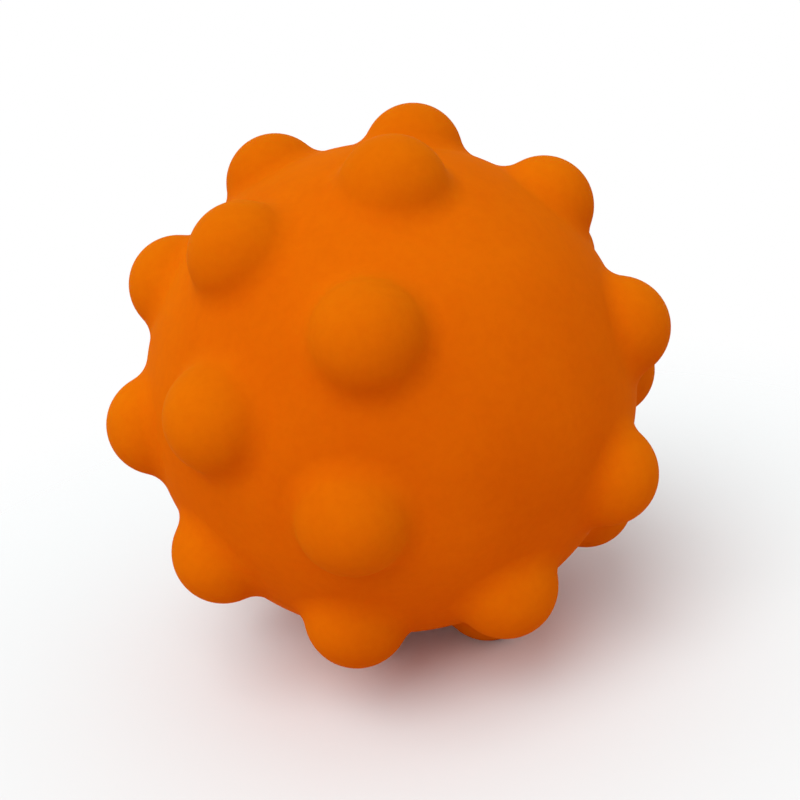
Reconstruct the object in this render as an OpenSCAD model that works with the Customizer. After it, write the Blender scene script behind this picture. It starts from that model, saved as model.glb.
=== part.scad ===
// Soft sensory ball: two bonded half skins covered in hollow nubs, with a reed squeaker at the rear pole.
// Millimetres, +Z up. The ball stands on three nubs of its rear half, with its front pole facing -Y and up.
// The origin is the point of the floor under the ball's centre.

/* [Skin] */
// Radius of the plain skin between the nubs
skin_radius = 32; // [31:0.5:36]
// Thickness of the moulded skin, around the hollow nubs too
wall = 2.4; // [2.2:0.1:2.8]
// Height of the lip that locates the front half in the rear half
lip_height = 2; // [1:0.1:2.4]
// Room for glue around the lip
glue_gap = 0.3; // [0.2:0.05:0.4]

/* [Nubs] */
// Radius of a nub's dome
nub_radius = 6.5; // [6:0.1:6.7]
// Height of a nub's tip above the skin
nub_height = 5.2; // [4.8:0.1:5.6]
// Radius of the hollow curve where a nub runs out into the skin
nub_fillet = 3.6; // [2.6:0.1:3.8]
// Angle from a pole to its inner ring of nubs
inner_ring_angle = 37.5; // [36:0.5:40]
// Angle from a pole to its outer ring of nubs
outer_ring_angle = 74.5; // [73.5:0.5:75]
// Places in an inner ring
inner_ring_places = 6; // [5:1:6]
// Places in an outer ring
outer_ring_places = 10; // [9:1:10]
// Places of the front inner ring that stay bare
bare_places = 2; // [0:1:3]
// Turn of the rear half against the front half
rear_turn = 67.5; // [64:0.5:70]

/* [Squeaker] */
// Radius of the flange that lies in the skin
flange_radius = 8; // [7.4:0.1:8.4]
// Thickness of the flange at its rim
flange_rim = 1.2; // [1:0.1:1.4]
// Depth of the squeaker's domed face under the skin
face_inset = 0.4; // [0.2:0.1:0.6]
// Radius of the neck that the skin's collar grips
neck_radius = 6; // [5.9:0.1:6.2]
// Length of the collar that the neck passes through
collar_length = 4; // [3.5:0.1:4.5]
// Width of the collar beyond the flange
collar_wall = 1.6; // [1.2:0.1:2]
// How far the catch behind the collar stands out from the neck
catch_reach = 1.2; // [0.8:0.1:1.4]
// Length of the catch's slope
catch_length = 2.4; // [2:0.1:3]
// Radius of the tube that holds the reed
tube_radius = 5.4; // [5.2:0.1:5.5]
// Length of the tube inside the collar
tube_length = 11.5; // [11:0.1:13]
// Radius of the tube's bore
bore_radius = 4.2; // [4.1:0.05:4.4]
// Width of the lip that stops the reed's core at the tube's end
stop_lip = 0.6; // [0.5:0.1:0.8]
// Radius of the cap over the tube's mouth
cap_radius = 5.6; // [5.4:0.1:5.8]
// Height of the cap's seat over the flange's seat
cap_step = 0.5; // [0.4:0.1:0.6]
// Diameter of an air hole in the cap
air_hole = 1.4; // [1:0.1:1.6]
// Air holes in the ring around the middle one
air_holes = 6; // [4:1:8]

/* [Reed] */
// Thickness of the reed
reed_thickness = 0.25; // [0.2:0.01:0.3]
// Width of the reed
reed_width = 3.8; // [3.6:0.1:4]
// Length of the reed from its grip to its tip
reed_reach = 7.6; // [7:0.1:8]
// Length of the reed's tail beyond its grip
reed_tail = 1; // [0.8:0.1:1.2]
// Room between the reed's tip and the end of its core
tip_room = 1.6; // [1.4:0.1:1.8]
// Gap between the reed and the flat of its core
reed_gap = 0.22; // [0.2:0.01:0.26]
// Air space between the core and the cap
air_space = 1.5; // [1.3:0.1:1.8]
// Length of the core's solid end before its air channel
channel_start = 2; // [1.8:0.1:2.4]
// Width of the air channel in the core
channel_width = 2.8; // [2.4:0.1:3]
// Depth of the air channel in the core
channel_depth = 1.6; // [1.2:0.1:1.8]

/* [Hidden] */
$fn = 128;

// Small play between parts pushed into each other, and overlap of solids that become one
play = 0.05;
weld = 0.4;
// How far a fillet dips under the surfaces it runs out into, so that they cross at a clear angle
fillet_dip = 0.03;

// Nub layout: each place is [angle from the front pole, turn about the pole axis]
outer_step = 360 / outer_ring_places;
inner_step = 360 / inner_ring_places;
front_places = concat(
    [[0, 0]],
    [for (i = [0 : inner_ring_places - 1]) if (i == 0 || i > bare_places) [inner_ring_angle, i * inner_step]],
    [for (i = [0 : outer_ring_places - 1]) [outer_ring_angle, i * outer_step]]
);
rear_places = concat(
    [for (i = [0 : outer_ring_places - 1]) [180 - outer_ring_angle, rear_turn + i * outer_step]],
    [for (i = [0 : inner_ring_places - 1]) [180 - inner_ring_angle, rear_turn + i * inner_step]]
);

// Nub profile: the dome's centre, and the fillet's circle that touches both the dome and the skin
dome_centre = skin_radius + nub_height - nub_radius;
skin_to_fillet = skin_radius + nub_fillet - fillet_dip;
dome_to_fillet = nub_radius + nub_fillet - fillet_dip;
fillet_z = (pow(skin_to_fillet, 2) - pow(dome_to_fillet, 2) + pow(dome_centre, 2)) / (2 * dome_centre);
fillet_x = sqrt(pow(skin_to_fillet, 2) - pow(fillet_z, 2));
nub_root = (skin_radius - wall / 2) / skin_to_fillet;

// Rest: two neighbours of the rear outer ring and one nub of the rear inner ring stand on the floor
function direction(place) = [
    sin(place[0]) * cos(place[1]), sin(place[0]) * sin(place[1]), cos(place[0])
];
function unit(v) = v / norm(v);
foot_left = direction([180 - outer_ring_angle, rear_turn - 2 * outer_step]);
foot_right = direction([180 - outer_ring_angle, rear_turn - outer_step]);
foot_back = direction([180 - inner_ring_angle, rear_turn - inner_step]);
up = unit(cross(foot_right - foot_left, foot_back - foot_left));
back = unit(up[2] * up - [0, 0, 1]);
right = cross(back, up);
centre_height = nub_radius - dome_centre * up * foot_left;
reed_turn = atan2(right[1], right[0]);

// Squeaker stations: distances from the ball's centre along the rear pole
face_radius = skin_radius - face_inset;
flange_seat = sqrt(pow(face_radius, 2) - pow(flange_radius, 2)) - flange_rim;
collar_end = flange_seat - collar_length;
tube_end = collar_end - tube_length;
cap_seat = flange_seat + cap_step;
core_end = tube_end + stop_lip;
core_length = cap_seat - air_space - core_end;
grip_station = core_end + tip_room + reed_reach;

// Flats of the core and of the clamp, measured from the middle of the reed
clamp_gap = reed_thickness / 2;
core_flat = reed_thickness / 2 + reed_gap;
clamp_flat = reed_thickness / 2 + clamp_gap;

// Puts the ball's own axes, with the front pole along Z, into the standing ball
module standing() {
    multmatrix([
        [right[0], right[1], right[2], 0],
        [back[0], back[1], back[2], 0],
        [up[0], up[1], up[2], centre_height],
        [0, 0, 0, 1]
    ])
    children();
}

// Points Z at a place on the ball
module aimed(place) {
    rotate([0, place[0], place[1]])
    children();
}

// The squeaker's own axes: Z runs out along the rear pole and Y along the reed's grip line
module at_squeaker() {
    standing()
    rotate([0, 0, reed_turn - 90])
    rotate([180, 0, 0])
    children();
}

// One nub, solid, with its fillet
module nub() {
    translate([0, 0, dome_centre])
    sphere(r = nub_radius);
    rotate_extrude()
    difference() {
        polygon([
            [0, dome_centre],
            [fillet_x, fillet_z],
            [fillet_x * nub_root, fillet_z * nub_root],
            [0, fillet_z * nub_root]
        ]);
        translate([fillet_x, fillet_z])
        circle(r = nub_fillet);
    }
}

// The whole skin as if it were closed, with the nubs of the given places
module skin(places) {
    difference() {
        union() {
            sphere(r = skin_radius);
            for (place = places) aimed(place) nub();
        }
        sphere(r = skin_radius - wall);
        for (place = places) {
            aimed(place)
            translate([0, 0, dome_centre])
            sphere(r = nub_radius - wall);
        }
    }
}

// A block that covers everything in front of the seam
module front_space() {
    side = 3 * skin_radius;
    translate([-side / 2, -side / 2, 0])
    cube(side);
}

module front_half_skin() {
    lip_outer = skin_radius - (wall + glue_gap) / 2;
    lip_inner = skin_radius - wall + play;
    color("DarkOrange")
    standing() {
        intersection() {
            skin(front_places);
            front_space();
        }
        rotate_extrude()
        translate([lip_inner, -lip_height])
        square([lip_outer - lip_inner, lip_height + weld]);
    }
}

module rear_half_skin() {
    recess_radius = skin_radius - (wall - glue_gap) / 2;
    recess_depth = lip_height + glue_gap;
    color("Orange")
    standing()
    difference() {
        union() {
            skin(rear_places);
            translate([0, 0, -flange_seat])
            cylinder(r = flange_radius + collar_wall, h = collar_length);
        }
        front_space();
        translate([0, 0, -recess_depth])
        cylinder(r = recess_radius, h = 2 * recess_depth);
        translate([0, 0, -2 * skin_radius])
        cylinder(r = neck_radius + play, h = 2 * skin_radius - collar_end + weld);
        translate([0, 0, -2 * skin_radius])
        cylinder(r = flange_radius + play, h = 2 * skin_radius - flange_seat);
    }
}

module squeaker_body() {
    color("WhiteSmoke")
    at_squeaker()
    difference() {
        union() {
            intersection() {
                translate([0, 0, flange_seat])
                cylinder(r = flange_radius, h = skin_radius);
                sphere(r = face_radius);
            }
            translate([0, 0, collar_end - weld])
            cylinder(r = neck_radius, h = collar_length + 2 * weld);
            translate([0, 0, collar_end - catch_length])
            cylinder(r1 = tube_radius, r2 = neck_radius + catch_reach, h = catch_length);
            translate([0, 0, tube_end])
            cylinder(r = tube_radius, h = tube_length);
        }
        translate([0, 0, core_end])
        cylinder(r = bore_radius, h = 2 * skin_radius);
        translate([0, 0, tube_end - weld])
        cylinder(r = bore_radius - stop_lip, h = tube_length);
        translate([0, 0, cap_seat])
        cylinder(r = cap_radius + play, h = skin_radius);
    }
}

module squeaker_cap() {
    ring_radius = cap_radius / 2;
    color("White")
    at_squeaker()
    difference() {
        intersection() {
            translate([0, 0, cap_seat])
            cylinder(r = cap_radius, h = skin_radius);
            sphere(r = face_radius);
        }
        cylinder(d = air_hole, h = 2 * skin_radius);
        for (i = [0 : air_holes - 1]) {
            rotate([0, 0, i * 360 / air_holes])
            translate([ring_radius, 0, 0])
            cylinder(d = air_hole, h = 2 * skin_radius);
        }
    }
}

// The part of the bore's filling that lies beyond a flat: side is -1 or 1
module bore_side(side, flat, from, length) {
    block = 2 * bore_radius;
    intersection() {
        translate([0, 0, from])
        cylinder(r = bore_radius - play, h = length);
        translate([side * (flat + block / 2), 0, from + length / 2])
        cube([block, block, 2 * length], center = true);
    }
}

// A half-round ridge on a flat that grips the reed
module grip_ridge(flat, reach, width) {
    translate([flat, 0, grip_station])
    rotate([90, 0, 0])
    cylinder(r = reach, h = width, center = true);
}

module reed_core() {
    ridge_width = (reed_width - channel_width) / 2;
    color("Gainsboro")
    at_squeaker() {
        difference() {
            bore_side(-1, core_flat, core_end, core_length);
            translate([-core_flat - channel_depth, -channel_width / 2, core_end + channel_start])
            cube([2 * channel_depth, channel_width, core_length]);
        }
        for (edge = [-1, 1]) {
            translate([0, edge * (channel_width + ridge_width) / 2, 0])
            grip_ridge(-core_flat, reed_gap, ridge_width);
        }
    }
}

module reed_clamp() {
    color("Silver")
    at_squeaker() {
        bore_side(1, clamp_flat, grip_station, core_end + core_length - grip_station);
        translate([0, 0, clamp_gap])
        grip_ridge(clamp_flat, clamp_gap, reed_width);
    }
}

module reed() {
    color("Khaki")
    at_squeaker()
    translate([-reed_thickness / 2, -reed_width / 2, grip_station - reed_reach])
    cube([reed_thickness, reed_width, reed_reach + reed_tail]);
}

front_half_skin();
rear_half_skin();
squeaker_body();
squeaker_cap();
reed_core();
reed_clamp();
reed();
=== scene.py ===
# Looks of the soft sensory ball: two fine half skins in soft vinyl over the CAD frame, the squeaker's
# plastics, a white studio and the photograph's camera. Metres, in the frame of the CAD model.
import math

import bpy
import numpy as np
from mathutils import Matrix, Vector


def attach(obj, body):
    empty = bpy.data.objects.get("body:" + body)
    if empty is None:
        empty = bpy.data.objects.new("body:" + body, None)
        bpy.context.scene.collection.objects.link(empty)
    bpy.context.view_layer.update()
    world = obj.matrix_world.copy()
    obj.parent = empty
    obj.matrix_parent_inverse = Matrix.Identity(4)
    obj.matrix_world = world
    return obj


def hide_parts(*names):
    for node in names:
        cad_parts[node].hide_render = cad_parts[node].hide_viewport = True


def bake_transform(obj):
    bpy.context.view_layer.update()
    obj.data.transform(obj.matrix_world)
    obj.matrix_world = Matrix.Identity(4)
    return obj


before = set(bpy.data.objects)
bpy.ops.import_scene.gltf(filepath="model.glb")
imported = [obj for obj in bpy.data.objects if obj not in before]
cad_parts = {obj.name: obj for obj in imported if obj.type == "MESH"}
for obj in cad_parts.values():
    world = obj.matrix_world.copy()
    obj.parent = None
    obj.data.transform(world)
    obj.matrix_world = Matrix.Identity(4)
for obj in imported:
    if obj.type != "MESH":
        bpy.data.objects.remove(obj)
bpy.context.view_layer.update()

MM = 0.001

# Skin and nub sizes, as in the part's source
SKIN_RADIUS = 32 * MM
WALL = 2.4 * MM
LIP_HEIGHT = 2 * MM
GLUE_GAP = 0.3 * MM
PLAY = 0.05 * MM
NUB_RADIUS = 6.5 * MM
NUB_HEIGHT = 5.2 * MM
NUB_FILLET = 3.6 * MM
DOME_CENTRE = SKIN_RADIUS + NUB_HEIGHT - NUB_RADIUS

# Nub layout: angles from a pole and turns about the pole axis, in degrees
INNER_RING_ANGLE = 37.5
OUTER_RING_ANGLE = 74.5
INNER_RING_PLACES = 6
OUTER_RING_PLACES = 10
BARE_PLACES = 2
REAR_TURN = 67.5
INNER_STEP = 360 / INNER_RING_PLACES
OUTER_STEP = 360 / OUTER_RING_PLACES

# The squeaker's seat in the rear half
FLANGE_RADIUS = 8 * MM
FLANGE_RIM = 1.2 * MM
FACE_INSET = 0.4 * MM
NECK_RADIUS = 6 * MM
COLLAR_LENGTH = 4 * MM
COLLAR_WALL = 1.6 * MM
FLANGE_SEAT = math.sqrt((SKIN_RADIUS - FACE_INSET) ** 2 - FLANGE_RADIUS ** 2) - FLANGE_RIM
COLLAR_END = FLANGE_SEAT - COLLAR_LENGTH

# Rounding of the moulded edges, and the grid of the skins, with the steps between its rows in degrees
SEAM_EDGE = 0.22 * MM
MOUTH_EDGE = 0.45 * MM
EDGE_STEPS = 5
COLUMNS = 480
OUTER_GRID = 0.6
INNER_GRID = 2
POINT_SIZE = 1e-9

# Vinyl: colours in linear light, sizes of its marks, parts of a nub's rise, and shares of its shader
VINYL_DARK = (0.715, 0.13, 0.0012)
VINYL_LIGHT = (0.785, 0.157, 0.0015)
FLECK_TINT = (0.95, 0.92, 0.9)
FLECK_SHARE = 0.5
# Painted light: the nubs' colour is painted yellower, standing in for the light that their domes catch
NUB_PAINTED_LIGHT_TINT = (0.98, 1.085, 1)
NUB_PAINTED_LIGHT_RISE = (0.05, 0.35)
TIP_RISE = (0.55, 1)
CLOUD_SIZE = 17 * MM
WAVE_SIZE = 9 * MM
WAVE_DEPTH = 0.12 * MM
SPECKLE_SIZE = 1.1 * MM
GRAIN_SIZE = 0.24 * MM
GRAIN_DEPTH = 0.03 * MM
VINYL_ROUGHNESS = (0.58, 0.7)
TIP_POLISH = 0.08
VINYL_GLOSS = 0.003
VINYL_GLOSS_TINT = (1, 0.5, 0.04)
VINYL_SCATTER = 0.25
VINYL_SCATTER_RADIUS = (1, 0.3, 0.1)
VINYL_SCATTER_SCALE = 1 * MM

# Squeaker plastic and reed film
PLASTIC_DARK = (0.70, 0.73, 0.74)
PLASTIC_LIGHT = (0.80, 0.83, 0.84)
FLOW_SIZE = 4.5 * MM
PLASTIC_GRAIN_SIZE = 0.33 * MM
PLASTIC_EDGE = 0.2 * MM
PLASTIC_EDGE_SAMPLES = 8
PLASTIC_ROUGHNESS = (0.36, 0.5)
PLASTIC_SCATTER = 0.3
PLASTIC_SCATTER_RADIUS = (1, 0.9, 0.75)
PLASTIC_SCATTER_SCALE = 1.5 * MM
FILM_DARK = (0.55, 0.47, 0.28)
FILM_LIGHT = (0.66, 0.58, 0.38)
FILM_LINE_SIZE = 0.55 * MM
FILM_LINE_DEPTH = 0.01 * MM
FILM_ROUGHNESS = (0.25, 0.38)

# Noise: levels of detail, how strong the finer ones are, the range that is used, and the share of a bump
SMOOTH = 2
FINE = 3
FINEST = 4
EVEN = 0.5
GRITTY = 0.6
NOISE_RANGE = (0.3, 0.7)
FLECK_RANGE = (0.35, 0.6)
RELIEF = 0.3

# Studio: a pale peach floor that the camera sees as white, a white sky and a soft key from the upper left,
# with its angles in degrees
FLOOR_SIZE = 1.2
FLOOR_COLOUR = (0.66, 0.40, 0.30)
SEEN_FLOOR_DARK = (0.90, 0.95, 0.96)
SEEN_FLOOR_LIGHT = (0.92, 0.97, 0.98)
FLOOR_CLOUD_SIZE = 0.33
FLOOR_ROUGHNESS = 0.9
FADE_START = 0.03
FADE_END = 0.12
WHITE = (1, 1, 1)
FILL_LEVEL = 0.63
KEY_STRENGTH = 1.48
KEY_SOFTNESS = 50
KEY_AZIMUTH = -30
KEY_ELEVATION = 56

# The photograph's camera, found from the nubs' places in it: angles in degrees, the lens in millimetres,
# and the ball's centre in the photograph's pixels
IMAGE_SIZE = 800
CAMERA_AZIMUTH = 3.64
CAMERA_ELEVATION = 20.34
CAMERA_ROLL = -8.67
CAMERA_DISTANCE = 0.1496
CAMERA_LENS = 50.5
CAMERA_NEAR = 0.005
BALL_IN_IMAGE = (391.2, 387.2)


# The ball's shape
def direction(polar, turn):
    """Unit vector at an angle from the front pole and a turn about it, in the ball's own axes."""
    p, t = math.radians(polar), math.radians(turn)
    return np.array([math.sin(p) * math.cos(t), math.sin(p) * math.sin(t), math.cos(p)])


def nub_directions():
    """Where the nubs of both halves stand."""
    found = [direction(0, 0)]
    for i in range(INNER_RING_PLACES):
        if i == 0 or i > BARE_PLACES:
            found.append(direction(INNER_RING_ANGLE, i * INNER_STEP))
        found.append(direction(180 - INNER_RING_ANGLE, REAR_TURN + i * INNER_STEP))
    for i in range(OUTER_RING_PLACES):
        found.append(direction(OUTER_RING_ANGLE, i * OUTER_STEP))
        found.append(direction(180 - OUTER_RING_ANGLE, REAR_TURN + i * OUTER_STEP))
    return np.array(found)


def standing_ball():
    """(axes, centre) that take the ball's own axes to the CAD frame, where it stands on three rear nubs."""
    left = direction(180 - OUTER_RING_ANGLE, REAR_TURN - 2 * OUTER_STEP)
    right = direction(180 - OUTER_RING_ANGLE, REAR_TURN - OUTER_STEP)
    behind = direction(180 - INNER_RING_ANGLE, REAR_TURN - INNER_STEP)
    up = np.cross(right - left, behind - left)
    up /= np.linalg.norm(up)
    back = up[2] * up - np.array([0, 0, 1])
    back /= np.linalg.norm(back)
    axes = np.array([np.cross(back, up), back, up])
    return axes, np.array([0, 0, NUB_RADIUS - DOME_CENTRE * up @ left])


NUBS = nub_directions()
BALL_AXES, BALL_CENTRE = standing_ball()
COLUMN_TURNS = np.arange(COLUMNS) * 2 * math.pi / COLUMNS


def along_dome(angle, dome):
    """Distance from the ball's centre to a dome of that radius, at an angle from the nub's axis."""
    across = DOME_CENTRE * np.sin(angle)
    return DOME_CENTRE * np.cos(angle) + np.sqrt(np.maximum(dome ** 2 - across ** 2, 0))


def outer_radius(angle):
    """Distance from the ball's centre to the outside: dome, fillet, then plain skin."""
    reach = SKIN_RADIUS + NUB_FILLET
    fillet_z = (reach ** 2 - (NUB_RADIUS + NUB_FILLET) ** 2 + DOME_CENTRE ** 2) / (2 * DOME_CENTRE)
    fillet_x = math.sqrt(reach ** 2 - fillet_z ** 2)
    root = math.atan2(fillet_x, fillet_z)
    share = NUB_RADIUS / (NUB_RADIUS + NUB_FILLET)
    join = math.atan2(fillet_x * share, DOME_CENTRE + (fillet_z - DOME_CENTRE) * share)
    turn = root - angle
    across = reach * np.sin(turn)
    fillet = reach * np.cos(turn) - np.sqrt(np.maximum(NUB_FILLET ** 2 - across ** 2, 0))
    beside = np.where(angle < root, fillet, SKIN_RADIUS)
    return np.where(angle < join, along_dome(angle, NUB_RADIUS), beside)


def inner_radius(angle):
    """Distance from the ball's centre to the inside, with the hollow under each nub."""
    hollow = NUB_RADIUS - WALL
    plain = SKIN_RADIUS - WALL
    mouth = math.acos((plain ** 2 + DOME_CENTRE ** 2 - hollow ** 2) / (2 * plain * DOME_CENTRE))
    return np.where(angle < mouth, along_dome(angle, hollow), plain)


def plain_row(radius, height):
    """A circle about the pole axis."""
    return np.stack([radius * np.cos(COLUMN_TURNS), radius * np.sin(COLUMN_TURNS),
                     np.full(COLUMNS, height)], axis=1)


def skin_row(polar, distance):
    """A row of the skin at an angle from the front pole. Its distance depends on the angle to a nub."""
    ray = plain_row(math.sin(math.radians(polar)), math.cos(math.radians(polar)))
    angle = np.arccos(np.clip((ray @ NUBS.T).max(axis=1), -1, 1))
    return ray * distance(angle)[:, None]


def skin_rows(first, last, step, distance):
    """Rows of the skin from one angle to another, about step apart."""
    count = max(2, round(abs(last - first) / step))
    return [skin_row(p, distance) for p in np.linspace(first, last, count + 1)]


def edge_rows(radius, height, size, first, last):
    """Rows round a moulded edge of that size, between two angles from the equator plane, in degrees."""
    rows = []
    for turn in np.radians(np.linspace(first, last, EDGE_STEPS)):
        rows.append(plain_row(radius + size * math.cos(turn), height + size * math.sin(turn)))
    return rows


def polar_of(radius, sphere):
    """Angle from the pole axis at which a sphere has that distance from the axis, in degrees."""
    return math.degrees(math.asin(radius / sphere))


def front_rows():
    """The front half from its pole, over the seam and its lip, to the inside of its pole."""
    lip_outer = SKIN_RADIUS - (WALL + GLUE_GAP) / 2
    lip_inner = SKIN_RADIUS - WALL + PLAY
    seam_polar = 90 - math.degrees(SEAM_EDGE / SKIN_RADIUS)
    rows = skin_rows(0, seam_polar, OUTER_GRID, outer_radius)
    rows += edge_rows(SKIN_RADIUS - SEAM_EDGE, SEAM_EDGE, SEAM_EDGE, 0, -90)[1:]
    rows += [plain_row(lip_outer, 0), plain_row(lip_outer, -LIP_HEIGHT)]
    rows += [plain_row(lip_inner, -LIP_HEIGHT)]
    rows += skin_rows(90, 0, INNER_GRID, inner_radius)
    return rows


def rear_rows():
    """The rear half from its seam, round the squeaker's seat and collar, and back along the inside."""
    mouth = FLANGE_RADIUS + PLAY
    bore = NECK_RADIUS + PLAY
    collar = FLANGE_RADIUS + COLLAR_WALL
    recess_depth = LIP_HEIGHT + GLUE_GAP
    recess = SKIN_RADIUS - (WALL - GLUE_GAP) / 2
    plain = SKIN_RADIUS - WALL
    seam_polar = 90 + math.degrees(SEAM_EDGE / SKIN_RADIUS)
    mouth_polar = 180 - polar_of(mouth + MOUTH_EDGE, SKIN_RADIUS)
    mouth_height = -math.sqrt(SKIN_RADIUS ** 2 - (mouth + MOUTH_EDGE) ** 2) + MOUTH_EDGE
    collar_polar = 180 - polar_of(collar, plain)
    recess_polar = 90 + math.degrees(math.asin(recess_depth / plain))
    rows = [plain_row(recess, -recess_depth), plain_row(recess, 0)]
    rows += edge_rows(SKIN_RADIUS - SEAM_EDGE, -SEAM_EDGE, SEAM_EDGE, 90, 0)[:-1]
    rows += skin_rows(seam_polar, mouth_polar, OUTER_GRID, outer_radius)
    rows += edge_rows(mouth + MOUTH_EDGE, mouth_height, MOUTH_EDGE, 270, 180)[1:]
    rows += [plain_row(mouth, -FLANGE_SEAT), plain_row(bore, -FLANGE_SEAT)]
    rows += [plain_row(bore, -COLLAR_END), plain_row(collar, -COLLAR_END)]
    rows += skin_rows(collar_polar, recess_polar, INNER_GRID, inner_radius)
    rows += [rows[0]]
    return rows


def row_faces(starts):
    """Faces between rows: starts has each row's first point and whether the row is that one point."""
    faces = []
    for (a, a_closed), (b, b_closed) in zip(starts, starts[1:]):
        for i in range(COLUMNS):
            j = (i + 1) % COLUMNS
            if a_closed:
                faces.append((a, b + i, b + j))
            elif b_closed:
                faces.append((a + j, a + i, b))
            else:
                faces.append((a + j, a + i, b + i, b + j))
    return faces


def row_mesh(name, rows):
    """A mesh object from rows in the ball's own axes, with each point's rise above the plain skin."""
    points, starts = [], []
    for row in rows:
        closed = np.ptp(row, axis=0).max() < POINT_SIZE
        starts.append((len(points), closed))
        points.extend(row[:1] if closed else row)
    points = np.array(points)
    mesh = bpy.data.meshes.new(name)
    mesh.from_pydata((points @ BALL_AXES.T + BALL_CENTRE).tolist(), [], row_faces(starts))
    mesh.polygons.foreach_set("use_smooth", [True] * len(mesh.polygons))
    rise = (np.linalg.norm(points, axis=1) - SKIN_RADIUS) / NUB_HEIGHT
    mesh.attributes.new("rise", "FLOAT", "POINT").data.foreach_set("value", np.clip(rise, 0, 1))
    mesh.update()
    made = bpy.data.objects.new(name, mesh)
    bpy.context.scene.collection.objects.link(made)
    return made


# Node helpers
class Nodes:
    """Short calls that add nodes to one tree. A value is a plain one or another node's output."""

    def __init__(self, tree):
        self.tree = tree

    def put(self, value, socket):
        """Links an output to a socket, or sets the socket to a plain value."""
        if isinstance(value, bpy.types.NodeSocket):
            self.tree.links.new(value, socket)
        elif socket.type == "RGBA":
            socket.default_value = (*value, 1)
        else:
            socket.default_value = value

    def add(self, kind, settings, **values):
        """A node with its settings and the values of its named sockets."""
        node = self.tree.nodes.new(kind)
        for name, setting in settings.items():
            setattr(node, name, setting)
        for name, value in values.items():
            self.put(value, node.inputs[name.replace("_", " ")])
        return node

    def place(self):
        """Place on the object, in metres."""
        return self.add("ShaderNodeTexCoord", {}).outputs["Object"]

    def rise(self):
        """How far a point of the skin has risen to a nub's tip, from 0 to 1."""
        return self.add("ShaderNodeAttribute", {"attribute_name": "rise"}).outputs["Fac"]

    def noise(self, size, detail, roughness=EVEN):
        """Factor of a noise whose ripples have that size in metres."""
        node = self.add("ShaderNodeTexNoise", {}, Vector=self.place(), Scale=1 / size, Detail=detail,
                        Roughness=roughness)
        return node.outputs["Fac"]

    def spread(self, factor, source, target):
        """Takes a factor from one range to another."""
        node = self.add("ShaderNodeMapRange", {}, Value=factor, From_Min=source[0], From_Max=source[1],
                        To_Min=target[0], To_Max=target[1])
        return node.outputs["Result"]

    def math(self, operation, a, b):
        """One piece of arithmetic on two values."""
        node = self.add("ShaderNodeMath", {"operation": operation})
        self.put(a, node.inputs[0])
        self.put(b, node.inputs[1])
        return node.outputs["Value"]

    def mix(self, factor, a, b, blend="MIX"):
        """Two colours mixed, or blended another way, by a factor."""
        settings = {"data_type": "RGBA", "blend_type": blend}
        return self.add("ShaderNodeMix", settings, Factor=factor, A=a, B=b).outputs["Result"]

    def bump(self, height, depth, strength, below=None):
        """Normal of a relief whose full height is depth in metres, over the relief below it."""
        node = self.add("ShaderNodeBump", {}, Height=height, Distance=depth, Strength=strength)
        if below is not None:
            self.put(below, node.inputs["Normal"])
        return node.outputs["Normal"]

    def seen_directly(self):
        """1 for what the camera sees, straight, reflected or through something clear, and 0 otherwise."""
        rays = self.add("ShaderNodeLightPath", {}).outputs
        reflected = self.math("MAXIMUM", rays["Is Camera Ray"], rays["Is Glossy Ray"])
        return self.math("MAXIMUM", reflected, rays["Is Transmission Ray"])


def new_material(name):
    """(material, its nodes, a function that sets the sockets of its principled shader)."""
    material = bpy.data.materials.new(name)
    material.use_nodes = True
    nodes = Nodes(material.node_tree)
    shader = material.node_tree.nodes["Principled BSDF"]

    def set_shader(**values):
        for socket, value in values.items():
            nodes.put(value, shader.inputs[socket.replace("_", " ")])

    return material, nodes, set_shader


# Materials
def soft_vinyl():
    """Matte orange vinyl: faint clouds and flecks, nubs painted yellower as painted light that their domes
    catch, smoother rubbed tips, fine grain.
    """
    material, nodes, set_shader = new_material("soft_orange_vinyl")
    speckle = nodes.noise(SPECKLE_SIZE, FINEST, GRITTY)
    rise = nodes.rise()
    cloud = nodes.spread(nodes.noise(CLOUD_SIZE, FINE), NOISE_RANGE, (0, 1))
    clouds = nodes.mix(cloud, VINYL_DARK, VINYL_LIGHT)
    flecks = nodes.spread(speckle, FLECK_RANGE, (FLECK_SHARE, 0))
    flecked = nodes.mix(flecks, clouds, FLECK_TINT, "MULTIPLY")
    # Painted light: the nubs are painted yellower from their roots up, standing in for the light that they
    # catch
    nub_painted_light = nodes.spread(rise, NUB_PAINTED_LIGHT_RISE, (0, 1))
    rubbed = nodes.spread(rise, TIP_RISE, (0, TIP_POLISH))
    roughness = nodes.math("SUBTRACT", nodes.spread(speckle, NOISE_RANGE, VINYL_ROUGHNESS), rubbed)
    waves = nodes.bump(nodes.noise(WAVE_SIZE, SMOOTH), WAVE_DEPTH, RELIEF)
    set_shader(Base_Color=nodes.mix(nub_painted_light, flecked, NUB_PAINTED_LIGHT_TINT, "MULTIPLY"), Roughness=roughness,
               Normal=nodes.bump(nodes.noise(GRAIN_SIZE, FINE, GRITTY), GRAIN_DEPTH, RELIEF, waves),
               Specular_IOR_Level=VINYL_GLOSS, Specular_Tint=VINYL_GLOSS_TINT,
               Subsurface_Weight=VINYL_SCATTER, Subsurface_Radius=VINYL_SCATTER_RADIUS,
               Subsurface_Scale=VINYL_SCATTER_SCALE)
    return material


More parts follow.
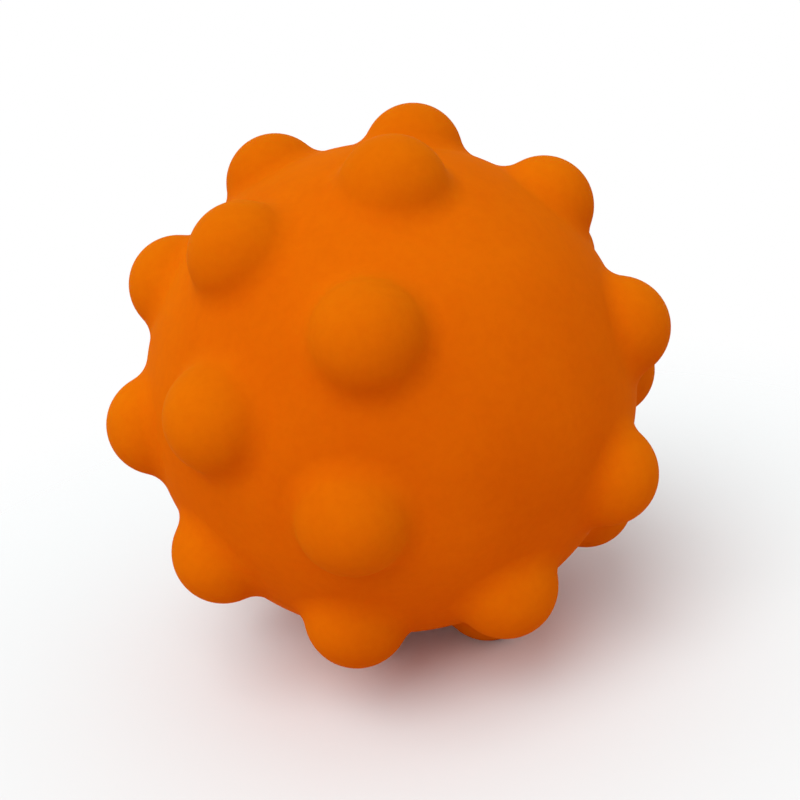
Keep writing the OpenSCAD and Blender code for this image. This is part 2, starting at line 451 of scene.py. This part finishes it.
def squeaker_plastic():
    """Natural polyethylene: a cool milky white, slightly waxy, with faint flow marks and soft edges."""
    material, nodes, set_shader = new_material("natural_polyethylene")
    flow = nodes.noise(FLOW_SIZE, FINE)
    edges = nodes.add("ShaderNodeBevel", {"samples": PLASTIC_EDGE_SAMPLES}, Radius=PLASTIC_EDGE)
    relief = nodes.noise(PLASTIC_GRAIN_SIZE, FINE, GRITTY)
    set_shader(Base_Color=nodes.mix(nodes.spread(flow, NOISE_RANGE, (0, 1)), PLASTIC_DARK, PLASTIC_LIGHT),
               Roughness=nodes.spread(flow, NOISE_RANGE, PLASTIC_ROUGHNESS),
               Normal=nodes.bump(relief, GRAIN_DEPTH, RELIEF, edges.outputs["Normal"]),
               Subsurface_Weight=PLASTIC_SCATTER, Subsurface_Radius=PLASTIC_SCATTER_RADIUS,
               Subsurface_Scale=PLASTIC_SCATTER_SCALE)
    return material


def reed_film():
    """Thin amber film with fine rolling lines."""
    material, nodes, set_shader = new_material("reed_film")
    lines = nodes.noise(FILM_LINE_SIZE, SMOOTH)
    set_shader(Base_Color=nodes.mix(nodes.spread(lines, NOISE_RANGE, (0, 1)), FILM_DARK, FILM_LIGHT),
               Roughness=nodes.spread(lines, NOISE_RANGE, FILM_ROUGHNESS),
               Normal=nodes.bump(lines, FILM_LINE_DEPTH, RELIEF))
    return material


# The object
VINYL = soft_vinyl()
front_skin = row_mesh("front_skin", front_rows())
front_skin.data.materials.append(VINYL)
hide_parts("front_half_skin")
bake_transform(front_skin)

rear_skin = row_mesh("rear_skin", rear_rows())
rear_skin.data.materials.append(VINYL)
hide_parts("rear_half_skin")
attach(rear_skin, "ball")

PLASTIC = squeaker_plastic()
FILM = reed_film()
for node, material in (("squeaker_body", PLASTIC), ("squeaker_cap", PLASTIC), ("reed_core", PLASTIC),
                       ("reed_clamp", PLASTIC), ("reed", FILM)):
    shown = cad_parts[node]
    shown.data.materials.clear()
    shown.data.materials.append(material)


# Studio and camera
def add_floor():
    """A wide pale floor, which the camera sees as white and, further out, as the white sky."""
    half = FLOOR_SIZE / 2
    mesh = bpy.data.meshes.new("floor")
    corners = [(-half, -half, 0), (half, -half, 0), (half, half, 0), (-half, half, 0)]
    mesh.from_pydata(corners, [], [(0, 1, 2, 3)])
    made = bpy.data.objects.new("floor", mesh)
    bpy.context.scene.collection.objects.link(made)
    material, nodes, set_shader = new_material("pale_floor")
    seen = nodes.seen_directly()
    cloud = nodes.spread(nodes.noise(FLOOR_CLOUD_SIZE, SMOOTH), NOISE_RANGE, (0, 1))
    pale = nodes.mix(cloud, SEEN_FLOOR_DARK, SEEN_FLOOR_LIGHT)
    reach = nodes.add("ShaderNodeVectorMath", {"operation": "LENGTH"}, Vector=nodes.place())
    faded = nodes.spread(reach.outputs["Value"], (FADE_START, FADE_END), (0, 1))
    set_shader(Base_Color=nodes.mix(seen, FLOOR_COLOUR, pale), Roughness=FLOOR_ROUGHNESS,
               Specular_IOR_Level=0,
               Alpha=nodes.math("SUBTRACT", 1, nodes.math("MULTIPLY", seen, faded)))
    mesh.materials.append(material)


def add_sky():
    """White where the camera or a reflection looks, and a plain white fill for the rest."""
    world = bpy.data.worlds.new("studio")
    bpy.context.scene.world = world
    world.use_nodes = True
    nodes = Nodes(world.node_tree)
    fill = nodes.add("ShaderNodeBackground", {}, Color=WHITE, Strength=FILL_LEVEL)
    shown = nodes.add("ShaderNodeBackground", {}, Color=WHITE, Strength=1)
    sky = nodes.add("ShaderNodeMixShader", {}, Fac=nodes.seen_directly())
    nodes.put(fill.outputs["Background"], sky.inputs[1])
    nodes.put(shown.outputs["Background"], sky.inputs[2])
    nodes.put(sky.outputs["Shader"], world.node_tree.nodes["World Output"].inputs["Surface"])


def towards(azimuth, elevation):
    """Unit vector from the object towards a viewer: azimuth 0 is in front, positive to the right."""
    a, e = math.radians(azimuth), math.radians(elevation)
    return Vector((math.sin(a) * math.cos(e), -math.cos(a) * math.cos(e), math.sin(e)))


def add_key():
    """A wide soft lamp from the upper left."""
    lamp = bpy.data.lights.new("key", "SUN")
    lamp.energy = KEY_STRENGTH
    lamp.angle = math.radians(KEY_SOFTNESS)
    made = bpy.data.objects.new("key", lamp)
    made.rotation_euler = towards(KEY_AZIMUTH, KEY_ELEVATION).to_track_quat("Z", "Y").to_euler()
    bpy.context.scene.collection.objects.link(made)


def add_camera():
    """Looks at the ball's centre, with the small shift of the photograph's framing."""
    away = towards(CAMERA_AZIMUTH, CAMERA_ELEVATION)
    turn = away.to_track_quat("Z", "Y").to_matrix() @ Matrix.Rotation(math.radians(CAMERA_ROLL), 3, "Z")
    lens = bpy.data.cameras.new("camera")
    lens.lens = CAMERA_LENS
    lens.clip_start = CAMERA_NEAR
    lens.shift_x = (IMAGE_SIZE / 2 - BALL_IN_IMAGE[0]) / IMAGE_SIZE
    lens.shift_y = (BALL_IN_IMAGE[1] - IMAGE_SIZE / 2) / IMAGE_SIZE
    made = bpy.data.objects.new("camera", lens)
    made.matrix_world = Matrix.LocRotScale(Vector(BALL_CENTRE) + away * CAMERA_DISTANCE, turn, None)
    bpy.context.scene.collection.objects.link(made)
    bpy.context.scene.camera = made


add_floor()
add_sky()
add_key()
add_camera()
bpy.context.scene.view_settings.view_transform = "Standard"
